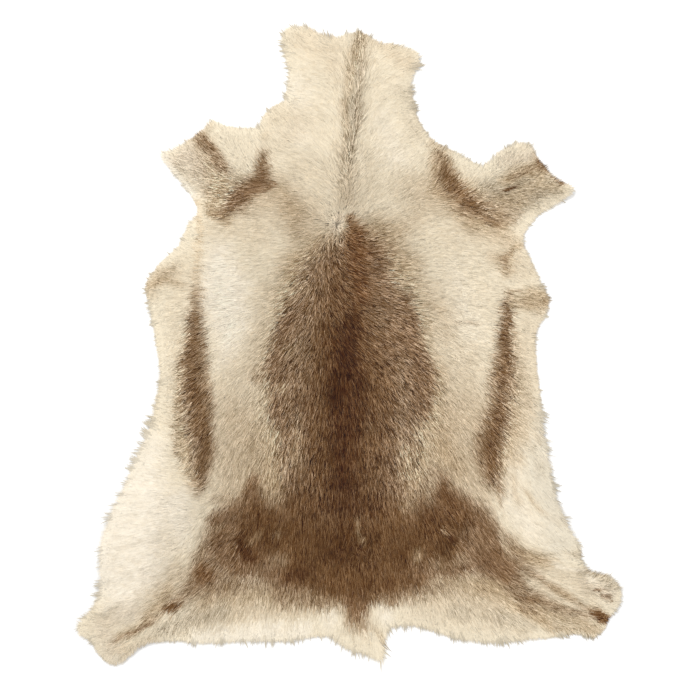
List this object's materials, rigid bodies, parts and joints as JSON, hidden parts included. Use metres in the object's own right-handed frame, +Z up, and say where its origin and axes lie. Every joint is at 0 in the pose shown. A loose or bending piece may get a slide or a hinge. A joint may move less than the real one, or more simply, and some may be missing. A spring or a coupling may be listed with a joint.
{
  "type": "reindeer hide",
  "caption": "Tanned reindeer hide laid flat, hair side up, with neck, legs and tail and a thick soft coat.",
  "frame": {"origin": "centre of the hide's box, on the surface that it lies on", "axes": "+Z up, hair side; +Y to the neck, -Y to the tail; +X to the right, seen from above with the neck away"},
  "size_m": [0.9822, 1.158, 0.0319],
  "materials": {
    "coat": "matt, soft hair",
    "skin": "matt suede"
  },
  "bodies": {
    "root": {"hide": "coat"}
  },
  "joints": []
}
